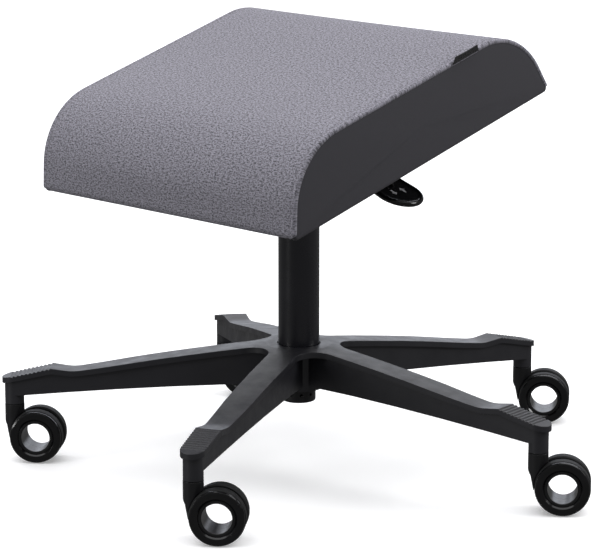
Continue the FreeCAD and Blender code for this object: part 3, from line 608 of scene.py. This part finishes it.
shell_points, shell_quads = build_shell()
print("shell", len(shell_points), "points")

# %% [markdown]
# All rings of a panel end in one middle point. Doubled points are merged before the solver runs, so the
# shell is closed and holds pressure, and numpy's inverse list finds every original point again.

# %% Press the shell
PRESS_FRAMES = 20
PRESSURE = 4.0
MOST_CROWN = 0.0045


def merged(points, quads):
    whole, back = np.unique(np.round(points, 6), axis=0, return_inverse=True)
    back = back.reshape(-1)
    faces = []
    for quad in quads:
        corners = list(dict.fromkeys(int(back[i]) for i in quad))
        if len(corners) > 2:
            faces.append(corners)
    return whole, faces, back


def held_points(points):
    """The four seams and the base don't move."""
    at_side = np.abs(np.abs(points[:, 0]) - HALF_WIDTH) < 1e-5
    gap = np.array([np.linalg.norm(loop - p, axis=1).min() for p in points[:, 1:]])
    on_base = points[:, 2] < BASE + 0.002
    return [int(i) for i in np.flatnonzero(on_base | (at_side & (gap < 1e-4)))]


def press(points, quads):
    """How far each point moves when air presses the shell from inside, scaled to the crown wanted."""
    whole, faces, back = merged(points, quads)
    shell = add_object("shell", whole, faces)
    face_outward(shell)
    shell.vertex_groups.new(name="hold").add(held_points(whole), 1.0, "REPLACE")
    cloth = shell.modifiers.new("cloth", "CLOTH")
    cloth.settings.vertex_group_mass = "hold"
    cloth.settings.quality = 5
    cloth.settings.mass = 0.3
    cloth.settings.bending_stiffness = 6.0
    cloth.settings.use_pressure = True
    cloth.settings.uniform_pressure_force = PRESSURE
    cloth.settings.effector_weights.gravity = 0.0
    for number in range(1, PRESS_FRAMES + 1):
        bpy.context.scene.frame_set(number)
    solved = shell.evaluated_get(bpy.context.evaluated_depsgraph_get())
    moved = np.array([v.co for v in solved.data.vertices]) - whole
    bpy.context.scene.frame_set(1)
    bpy.data.objects.remove(shell)
    farthest = np.linalg.norm(moved, axis=1).max()
    print("the solver moved the cloth up to", round(1000 * farthest, 1), "mm")
    return moved[back] * (MOST_CROWN / farthest)


pressed = press(shell_points, shell_quads)


def relaxed(table, passes):
    """The table with each move drawn towards the mean of its neighbours round and across."""
    for _ in range(passes):
        table = (2 * table + np.roll(table, 1, axis=1) + np.roll(table, -1, axis=1)) / 4
        inner = (2 * table[1:-1] + table[:-2] + table[2:]) / 4
        table = np.concatenate([table[:1], inner, table[-1:]])
    return table

# %% [markdown]
# The table of moves is read by place: across and along for the wrapped cover, and by ring and length for
# a side panel. The tight black cloth shows no creases, so its moves are relaxed most. Reading between the
# points with weights keeps the finished cloth smooth, though it has several times more points.

# %% Read the moves
per_layer = pressed.reshape(-1, len(loop), 3)
wrap_moves = relaxed(per_layer[:SHELL_COLUMNS], 6)
right_rows = [SHELL_COLUMNS - 1, *range(SHELL_COLUMNS, SHELL_COLUMNS + RINGS)]
left_rows = [0, *range(SHELL_COLUMNS + RINGS, SHELL_COLUMNS + 2 * RINGS)]
panel_moves = {1: relaxed(per_layer[right_rows], 60), -1: relaxed(per_layer[left_rows], 60)}


def between(table, row, length):
    """Moves at fractional rows of a table and at running lengths round the outline."""
    spots = np.append(loop_length, GIRTH)
    place = np.interp(length, spots, np.arange(len(spots)))
    i = np.floor(place).astype(int)
    f = (place - i)[:, None]
    row = np.clip(row, 0, len(table) - 1)
    r = np.minimum(np.floor(row).astype(int), len(table) - 2)
    g = (row - r)[:, None]
    size = len(loop)
    near = table[r, i % size] * (1 - f) + table[r, (i + 1) % size] * f
    far = table[r + 1, i % size] * (1 - f) + table[r + 1, (i + 1) % size] * f
    return near * (1 - g) + far * g


def cover_move(x, length):
    row = (np.asarray(x) / HALF_WIDTH + 1) / 2 * (SHELL_COLUMNS - 1)
    return between(wrap_moves, row, length)


print("largest crown", round(1000 * np.linalg.norm(wrap_moves, axis=2).max(), 2), "mm")

# %% [markdown]
# ## The grey cover
# The cover is one strip of cloth, wrapped from under the front edge, over the top and under the rear
# edge. At each side it rolls over a thin cord-like edge and dives into the seam, with a line of
# topstitching beside it. So it is modelled as the strip's cross-section, carried round the outline:
# a closed section with a rolled edge and a shallow sewn channel gives all of it in one clean sheet.

# %% Draw the strip's cross-section
EDGE_ROLL = 0.0030
SEAM_DIP = 0.0052
CLOTH = 0.0016
STITCH_INSET = 0.0068
CHANNEL_WIDTH = 0.0022
CHANNEL_DEPTH = 0.0007


def channel(x):
    """Depth of the two sewn channels at x."""
    distance = (HALF_WIDTH - STITCH_INSET - np.abs(x)) / CHANNEL_WIDTH
    return -CHANNEL_DEPTH * np.exp(-distance ** 2)


def strip_section():
    """Closed section: (x, height above the outline), outer side first, then back underneath."""
    flat_to = HALF_WIDTH - EDGE_ROLL
    fine_from = HALF_WIDTH - 0.014
    fine = np.linspace(fine_from, flat_to, 16)
    coarse = np.linspace(-fine_from, fine_from, 56)[1:-1]
    xs = np.concatenate([-fine[::-1], coarse, fine])
    outer = np.column_stack([xs, channel(xs)])
    angles = np.linspace(0, math.pi / 2, 7)[1:]
    roll = np.column_stack([flat_to + EDGE_ROLL * np.sin(angles), EDGE_ROLL * (np.cos(angles) - 1)])
    inner_x = HALF_WIDTH - 0.0022
    hem = np.array([[HALF_WIDTH - 0.0004, -SEAM_DIP], [inner_x, -SEAM_DIP]])
    under = np.array([[HALF_WIDTH - 0.0075, -CHANNEL_DEPTH - CLOTH], [0.0, -CLOTH]])
    right = np.concatenate([roll, hem, under])
    left = right[:-1][::-1] * [-1, 1]
    return np.concatenate([outer, right, left])


section = strip_section()
print("section of", len(section), "points")

# %% [markdown]
# Carrying the section round the outline gives rows of points. Each gets its place, the crown read from
# the pressed shell, and a "cloth" vector: metres across and metres along, which the weave is drawn in.

# %% Sweep the cover
COVER_RETURN = 0.034
COVER_STEP = 0.004
BASE_TUCK = 0.009           # under the base the strip narrows, and the side panels are folded over it


def store_cloth(piece, vectors):
    """The weave's own coordinates, in metres, on every point."""
    layer = piece.data.attributes.new("cloth", "FLOAT_VECTOR", "POINT")
    layer.data.foreach_set("vector", np.asarray(vectors, dtype=np.float32).ravel())


def grid_faces(rows, columns, wrap_columns=True):
    faces = []
    for r in range(rows - 1):
        for c in range(columns if wrap_columns else columns - 1):
            d = (c + 1) % columns
            faces.append((r * columns + c, r * columns + d, (r + 1) * columns + d, (r + 1) * columns + c))
    return faces


def outline_stations():
    """Fine outline points from under the front edge, over the top, to under the rear edge."""
    points, normals, length = outline(COVER_STEP)
    start = (REAR - FRONT) / 2 - COVER_RETURN
    keep = (length >= start) & (length <= GIRTH - start)
    return points[keep], normals[keep], length[keep]


def swept_cover():
    points, normals, length = outline_stations()
    rows, flow = [], []
    for point, normal, run in zip(points, normals, length):
        tuck = BASE_TUCK * np.clip(-1.2 * normal[1] - 0.2, 0, 1)
        x = section[:, 0] * (1 - tuck / HALF_WIDTH)
        level = np.column_stack([x, point + normal * section[:, 1:2]])
        rows.append(level + cover_move(section[:, 0], np.full(len(section), run)))
        flow.append(np.column_stack([section[:, 0], np.full(len(section), run), np.zeros(len(section))]))
    faces = grid_faces(len(rows), len(section))
    last = (len(rows) - 1) * len(section)
    faces.append(tuple(range(len(section)))[::-1])
    faces.append(tuple(last + i for i in range(len(section))))
    return np.concatenate(rows), faces, np.concatenate(flow)


def cushion_piece(name, level, faces, flow, finish, slot):
    """A cloth piece laid out in the cushion's frame, tilted into place."""
    piece = add_object(name, level @ np.array(to_row).T, faces)
    store_cloth(piece, flow)
    face_outward(piece)
    dress(piece, finish)
    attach(piece, "seat")
    return piece


cover = cushion_piece("cushion_cover", *swept_cover(), melange, "cover_fabric")
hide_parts("top_cover")
print("cover faces", len(cover.data.polygons))

# %% [markdown]
# ## The black side panels
# Each panel is a second piece of cloth set inside the grey edge. It comes up out of the seam over a small
# roll and bellies out slightly. Rings follow the outline: close together where the cloth turns into the
# seam, then shrinking to the panel's middle.

# %% Belly the side panels
PANEL_SET_BACK = 0.0010
PANEL_INSET = 0.0018
PANEL_ROLL = 0.0034
PANEL_HIDDEN = 0.0050
PANEL_RINGS = 26
BASE_WRAP = 0.0024          # how far the panel comes down past the cover's edge at the base

panel_reach = 0.45 * THICKNESS


def panel_rings():
    """(inset from the outline, how far the cloth lies behind the panel's face) near the seam."""
    angles = np.linspace(0, math.pi / 2, 7)
    inset = PANEL_INSET + PANEL_ROLL * (1 - np.cos(angles))
    behind = PANEL_ROLL * (1 - np.sin(angles))
    return list(zip(inset, behind))


def side_panel(side):
    points, normals, length = outline(COVER_STEP)
    at_base = np.clip(-normals[:, 1:], 0, 1)
    layers, flow = [], []

    def add_ring(uv, behind, share, lift=1.0):
        move = between(panel_moves[side], np.full(len(uv), (1 - share) * RINGS), length) * lift
        layers.append(level_points(side * (HALF_WIDTH - PANEL_SET_BACK - behind), uv) + move)
        flow.append(np.column_stack([uv, np.zeros(len(uv))]))

    for inset, behind in panel_rings():
        edge = points - normals * (inset - BASE_WRAP * at_base)
        add_ring(edge, behind, 1 - inset / panel_reach)
    for ring in range(1, PANEL_RINGS + 1):
        share = 1 - ring / PANEL_RINGS
        add_ring(panel_middle + (edge - panel_middle) * share, 0.0, share * (1 - inset / panel_reach))
    add_ring(panel_middle + (edge - panel_middle) * 0, PANEL_HIDDEN, 0.0, lift=0.0)
    add_ring(points - normals * (PANEL_INSET - BASE_WRAP * at_base), PANEL_HIDDEN, 1.0)
    size = len(points)
    faces = grid_faces(len(layers), size)
    last = (len(layers) - 1) * size
    faces += [(last + i, last + (i + 1) % size, (i + 1) % size, i) for i in range(size)]
    return np.concatenate(layers), faces, np.concatenate(flow)


for side, word in ((1, "right"), (-1, "left")):
    panel = cushion_piece(f"cushion_side_{word}", *side_panel(side), side_cloth, "panel_fabric")
    face_outward(panel, weld=True)
    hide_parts(f"side_panel_{word}")
    print(panel.name, len(panel.data.polygons), "faces")

# %% [markdown]
# ## Topstitching
# A lockstitch shows as short bars of thread that dip into the cloth between holes. One bar is a slim
# closed capsule; a loop lays it along both channels at an even pitch, pressed a little into the cloth.
# All bars of one seam make one object, because they are one thread.

# %% Lay the stitches
STITCH_PITCH = 0.0042
STITCH_LENGTH = 0.0032
THREAD_RADIUS = 0.00032


def capsule(start, end, radius, sides=6):
    """A slim closed bar of thread, tapered at both ends, as points and faces."""
    axis = Vector(end) - Vector(start)
    across = axis.orthogonal().normalized()
    other = axis.normalized().cross(across)
    points = [Vector(start) - axis * 0.06]
    for share in (0.06, 0.3, 0.7, 0.94):
        thick = radius if 0.1 < share < 0.9 else radius * 0.6
        points += [Vector(start) + axis * share + (across * math.cos(turn) + other * math.sin(turn)) * thick
                   for turn in (2 * math.pi * side / sides for side in range(sides))]
    points.append(Vector(end) + axis * 0.06)
    faces = [(0, 1 + (side + 1) % sides, 1 + side) for side in range(sides)]
    for ring in range(3):
        here, there = 1 + ring * sides, 1 + (ring + 1) * sides
        faces += [(here + side, here + (side + 1) % sides, there + (side + 1) % sides, there + side)
                  for side in range(sides)]
    top = 1 + 3 * sides
    faces += [(top + side, top + (side + 1) % sides, len(points) - 1) for side in range(sides)]
    return points, faces


def joined_bars(name, bars, finish, radius=THREAD_RADIUS):
    """One object of many separate bars of thread."""
    vertices, faces = [], []
    for start, end in bars:
        points, quads = capsule(start, end, radius)
        faces += [tuple(len(vertices) + i for i in quad) for quad in quads]
        vertices += points
    piece = add_object(name, vertices, faces)
    face_outward(piece)
    dress(piece, finish)
    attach(piece, "seat")
    return piece


def on_cover(x, run, lift):
    """A point above the finished cover, in the row frame."""
    points, normals, length = fine_outline
    spot = np.array([np.interp(run, length, points[:, axis]) for axis in (0, 1)])
    normal = np.array([np.interp(run, length, normals[:, axis]) for axis in (0, 1)])
    level = np.array([x, *(spot + normal * lift)]) + cover_move(np.array([x]), np.array([run]))[0]
    return to_row @ Vector(level)


fine_outline = outline(0.002)
first_run = (REAR - FRONT) / 2 - FOOT_ROUND
for side, word in ((1, "right"), (-1, "left")):
    x = side * (HALF_WIDTH - STITCH_INSET)
    sink = THREAD_RADIUS * 0.4 - CHANNEL_DEPTH
    count = int((GIRTH - 2 * first_run) / STITCH_PITCH)
    runs = [first_run + number * STITCH_PITCH for number in range(count)]
    bars = [(on_cover(x, run, sink), on_cover(x, run + STITCH_LENGTH, sink)) for run in runs]
    joined_bars(f"topstitch_{word}", bars, grey_thread)
print("stitches a side", count)

# %% [markdown]
# ## The woven tab
# A short tape is folded double over its length and caught in the right seam near the rear, so it stands
# up and leans outward. It is drawn as its real cross-section: one leg up, a tight turn, one leg down.
# That section is carried along the seam, and pulled in towards the top where the ends are cut on a slant.

# %% Fold the tab
TAB_LENGTH = 0.0447
TAB_TOP_LENGTH = 0.0380
TAB_HEIGHT = 0.0098
TAB_PLY = 0.00045
TAB_FOLD = 0.00032          # radius of the fold's middle line
TAB_FROM_REAR = 0.1069
TAB_ROOT = 0.0030
TAB_LEAN = math.radians(23)
TAB_COLUMNS = 24


def tab_middle_line():
    """The folded tape's middle line from root to root: (out from the seam, up)."""
    straight = TAB_HEIGHT - TAB_FOLD - TAB_PLY / 2
    legs = np.linspace(0, straight, 9)
    turn = np.linspace(0, math.pi, 9)[1:-1]
    up = np.column_stack([np.full(9, -TAB_FOLD), legs])
    over = np.column_stack([-TAB_FOLD * np.cos(turn), straight + TAB_FOLD * np.sin(turn)])
    down = np.column_stack([np.full(9, TAB_FOLD), legs[::-1]])
    return np.concatenate([up, over, down])


def tab_section():
    """The middle line grown by half the tape's thickness to each side, as one closed section."""
    line = tab_middle_line()
    ahead = np.gradient(line, axis=0)
    ahead /= np.linalg.norm(ahead, axis=1)[:, None]
    left = np.column_stack([-ahead[:, 1], ahead[:, 0]]) * TAB_PLY / 2
    return np.concatenate([line + left, (line - left)[::-1]])


def folded_tab():
    outline_2d = tab_section()
    rows, flow = [], []
    for share in np.linspace(-0.5, 0.5, TAB_COLUMNS):
        length = TAB_LENGTH + (TAB_TOP_LENGTH - TAB_LENGTH) * outline_2d[:, 1] / TAB_HEIGHT
        bow = 0.0006 * math.cos(math.pi * share) * (outline_2d[:, 1] / TAB_HEIGHT) ** 2
        out, rise = outline_2d[:, 0] + bow, outline_2d[:, 1]
        x = HALF_WIDTH + 0.0009 + out * math.cos(TAB_LEAN) + rise * math.sin(TAB_LEAN)
        z = BASE + THICKNESS - TAB_ROOT - out * math.sin(TAB_LEAN) + rise * math.cos(TAB_LEAN)
        along = REAR - TAB_FROM_REAR - TAB_LENGTH / 2 + share * length
        rows.append(np.column_stack([x, along, z]))
        flow.append(np.column_stack([along, rise, np.zeros(len(rise))]))
    faces = grid_faces(len(rows), len(outline_2d))
    last = (len(rows) - 1) * len(outline_2d)
    half = len(outline_2d) // 2
    for base in (0, last):
        faces += [(base + i, base + i + 1, base + len(outline_2d) - 2 - i, base + len(outline_2d) - 1 - i)
                  for i in range(half - 1)]
    return np.concatenate(rows), faces, np.concatenate(flow)


tab = cushion_piece("woven_tab", *folded_tab(), tab_tape, "tab_fabric")
keep_edges_crisp(tab, 50)
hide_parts("seam_tab")

# %% [markdown]
# ## The underside lining
# A thin black felt hides the board and the cover's folded-in edge. It is stretched flat and stapled, so
# between staples its edge slackens by a fraction of a millimetre. A closed sheet, 0.5 mm thick, with
# shallow scallops along its edges, is all it takes.

# %% Stretch the lining
LINING_THICK = 0.0005
STAPLE_PITCH = 0.045
SCALLOP = 0.0006

lining_low, lining_high = level_box("dust_cover")


def scallops(run, span):
    """How far the edge draws in between staples along it."""
    count = round(span / STAPLE_PITCH)
    return SCALLOP * (1 - abs(math.cos(math.pi * count * run / span)))


def stretched_lining(columns=72, rows=72):
    middle = (lining_low + lining_high) / 2
    half_x, half_y = (lining_high.x - lining_low.x) / 2, (lining_high.y - lining_low.y) / 2
    top, under, flow = [], [], []
    for b in np.linspace(-1, 1, rows):
        for a in np.linspace(-1, 1, columns):
            x = a * (half_x - scallops((b + 1) * half_y, 2 * half_y) * abs(a) ** 8)
            y = b * (half_y - scallops((a + 1) * half_x, 2 * half_x) * abs(b) ** 8)
            ripple = 0.00012 * math.sin(9 * a + 2 * b) * math.sin(7 * b)
            z = middle.z + ripple
            top.append((x, middle.y + y, z + LINING_THICK / 2))
            under.append((x, middle.y + y, z - LINING_THICK / 2))
            flow.append((x, y, 0))
    count = len(top)
    upper = grid_faces(rows, columns, wrap_columns=False)
    faces = upper + [tuple(count + i for i in face[::-1]) for face in upper]
    rim = [*range(columns), *range(2 * columns - 1, rows * columns, columns),
           *range(rows * columns - 2, (rows - 1) * columns - 1, -1),
           *range((rows - 2) * columns, 0, -columns)]
    faces += [(a, b, count + b, count + a) for a, b in zip(rim, rim[1:] + rim[:1])]
    return np.array(top + under), faces, np.array(flow + flow)


felt = cushion_piece("underside_lining", *stretched_lining(), lining, "lining_fabric")
keep_edges_crisp(felt, 60)
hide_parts("dust_cover")

# %% [markdown]
# ## The paddle
# The height paddle is a glossy tongue that a hand finds without looking: thick round edge, a raised rim
# and a shallow dish. It is built from rings that shrink from the outline to a spine. A short list of
# (inset, height) pairs draws the edge's section once, and every ring follows it.

# %% Mould the paddle
PADDLE_BEND = Vector((0.118, 0, 0.372))
PADDLE_DROOP = math.radians(19.5)
PADDLE_START = 0.006        # from the rod's bend to the paddle's root
PADDLE_LENGTH = 0.0737
PADDLE_THICK = 0.0070
PADDLE_TIP_RADIUS = 0.0305
PADDLE_WIDTHS = ((0.0, 0.0090), (0.0120, 0.0280), (PADDLE_LENGTH - PADDLE_TIP_RADIUS, PADDLE_TIP_RADIUS))
RIM_WIDTH = 0.0042
DISH_DEPTH = 0.0016
EDGE_ROUND = 0.0030
EVEN_TO = 0.0090            # rings keep an even distance from the edge up to this inset

paddle_way = Vector((math.cos(PADDLE_DROOP), 0, -math.sin(PADDLE_DROOP)))
paddle_up = Vector((math.sin(PADDLE_DROOP), 0, math.cos(PADDLE_DROOP)))
paddle_root = PADDLE_BEND + paddle_way * PADDLE_START


def smoothed(points, passes):
    """A closed line with its corners worn round."""
    for _ in range(passes):
        points = (2 * points + np.roll(points, 1, axis=0) + np.roll(points, -1, axis=0)) / 4
    return points


def paddle_outline():
    """The tongue's edge, evenly spaced, as (along, across)."""
    along, half = np.array(PADDLE_WIDTHS).T
    turn = np.linspace(math.pi / 2, -math.pi / 2, 60)
    tip = np.column_stack([along[-1] + PADDLE_TIP_RADIUS * np.cos(turn), PADDLE_TIP_RADIUS * np.sin(turn)])
    corners = np.concatenate([np.column_stack([along, half])[:-1], tip,
                              np.column_stack([along, -half])[:-1][::-1]])
    closed = np.concatenate([corners, corners[:1]])
    run = np.concatenate([[0], np.cumsum(np.linalg.norm(np.diff(closed, axis=0), axis=1))])
    even = np.linspace(0, run[-1], 240, endpoint=False)
    return smoothed(np.column_stack([np.interp(even, run, closed[:, i]) for i in (0, 1)]), 30)


def edge_section():
    """(inset, height) from the middle of the upper face, round the edge, to the middle below."""
    half = PADDLE_THICK / 2
    turns = np.linspace(math.pi / 2, -math.pi / 2, 13)
    edge = [(EDGE_ROUND * (1 - math.cos(t)), half * math.sin(t)) for t in turns]
    slope = np.linspace(0, 1, 9)[1:]
    dish = [(EDGE_ROUND + RIM_WIDTH * s, half - DISH_DEPTH * (3 * s * s - 2 * s ** 3)) for s in slope]
    floor_inset = EDGE_ROUND + RIM_WIDTH
    inner = np.linspace(floor_inset, PADDLE_TIP_RADIUS, 6)[1:]
    above = [(inset, half - DISH_DEPTH) for inset in inner[::-1]]
    below = [(inset, -half) for inset in inner]
    return above + dish[::-1] + edge + below


def moulded_paddle():
    edge = paddle_outline()
    spine = np.column_stack([np.clip(edge[:, 0], PADDLE_TIP_RADIUS, PADDLE_LENGTH - PADDLE_TIP_RADIUS),
                             np.zeros(len(edge))])
    gap = np.linalg.norm(edge - spine, axis=1)[:, None]
    rows = []
    for inset, height in edge_section():
        if inset > EVEN_TO:
            flat = spine + (edge - spine) * (1 - inset / PADDLE_TIP_RADIUS)
        else:
            flat = edge + (spine - edge) * inset / gap
        rows.append(np.array([paddle_root + paddle_way * x + Vector((0, 1, 0)) * y + paddle_up * height
                              for x, y in flat]))
    return np.concatenate(rows), grid_faces(len(rows), len(edge))


paddle = add_object("height_paddle", *moulded_paddle())
face_outward(paddle, weld=True)
socket = lathe("paddle_socket", [(0.0042, -0.001), (0.0070, 0.001), (0.0068, 0.028), (0.0042, 0.030)],
               paddle_root, paddle_way, corner=0.0012, segments=48)
print("paddle", len(paddle.data.polygons), "faces")

# %% [markdown]
# Two small arrows stand up from the dish, one for each way the seat can go. They are plain arrows with a
# stem, a third of a millimetre high, with pale ink rolled over them.

# %% Raise the arrows
ARROW_HEIGHT = 0.00035
ARROW_SHAPE = ((0.0, 0.0060), (0.0042, 0.0012), (0.0016, 0.0012), (0.0016, -0.0050), (-0.0016, -0.0050),
               (-0.0016, 0.0012), (-0.0042, 0.0012))


def raised_arrow(name, centre, way):
    """One arrow on the paddle's dish, its point towards way along the tongue."""
    foot = PADDLE_THICK / 2 - DISH_DEPTH - 0.0001
    vertices = [paddle_root + paddle_way * (centre[0] + way * y) + Vector((0, 1, 0)) * (centre[1] + x)
                + paddle_up * height for height in (foot, foot + ARROW_HEIGHT) for x, y in ARROW_SHAPE]
    count = len(ARROW_SHAPE)
    sides = [(i, (i + 1) % count, count + (i + 1) % count, count + i) for i in range(count)]
    ends = [tuple(range(count)), tuple(range(count, 2 * count))]
    arrow = add_object(name, vertices, ends + sides, smooth=False)
    face_outward(arrow)
    return arrow


arrows = [raised_arrow("arrow_up", (0.042, 0.008), -1), raised_arrow("arrow_down", (0.042, -0.008), 1)]
pale_ink = grained_plastic("pale_ink", (0.42, 0.42, 0.44), 0.45, 0.4, grain=1500.0, wear=0.1)
for piece in [paddle, socket, *arrows]:
    dress(piece, pale_ink if piece in arrows else gloss_black)
    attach(piece, "lever")
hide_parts("lever_paddle")
print("arrows", [arrow.name for arrow in arrows])

# %% [markdown]
# ## Dress the rest
# Every other piece keeps its exact CAD shape and takes its finish from its material slot, so one short
# table covers all of them. The foam under the cover is seen only if the cover is taken off.

# %% Finish the CAD pieces
def moulded_foam():
    finish = Finish("moulded_foam", (0.70, 0.66, 0.52), 0.95)
    finish.bump(finish.noise(700.0, 4.0), 0.0004, 0.7)
    return finish


slot_finish = {
    "base_plastic": nylon,
    "column_steel": column_coat,
    "cap_plastic": satin_black,
    "bush_plastic": satin_black,
    "bare_steel": bare_steel,
    "zinc_steel": zinc,
    "seal_rubber": tread_rubber,
    "bracket_steel": bracket_coat,
    "plywood": plywood,
    "foam": moulded_foam(),
    "caster_plastic": satin_black,
    "wheel_gloss": gloss_black,
    "sleeve_plastic": sleeve_black,
    "tread_rubber": tread_rubber,
}
for part in record["subparts"]:
    if part["material_slot"] in slot_finish:
        dress(nodes[part["node"]], slot_finish[part["material_slot"]])
print("dressed", sum(part["material_slot"] in slot_finish for part in record["subparts"]), "CAD pieces")

# %% [markdown]
# ## Check the size
# The dressed stool has to fill the same box as the CAD one, so how far its box grows past the CAD box on
# each axis is printed.

# %% Measure and finish
low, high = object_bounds()
grown = [round(1000 * max(a - b, d - c), 1) for a, b, c, d in zip(cad_low, low, cad_high, high)]
print("grew by", grown, "mm")
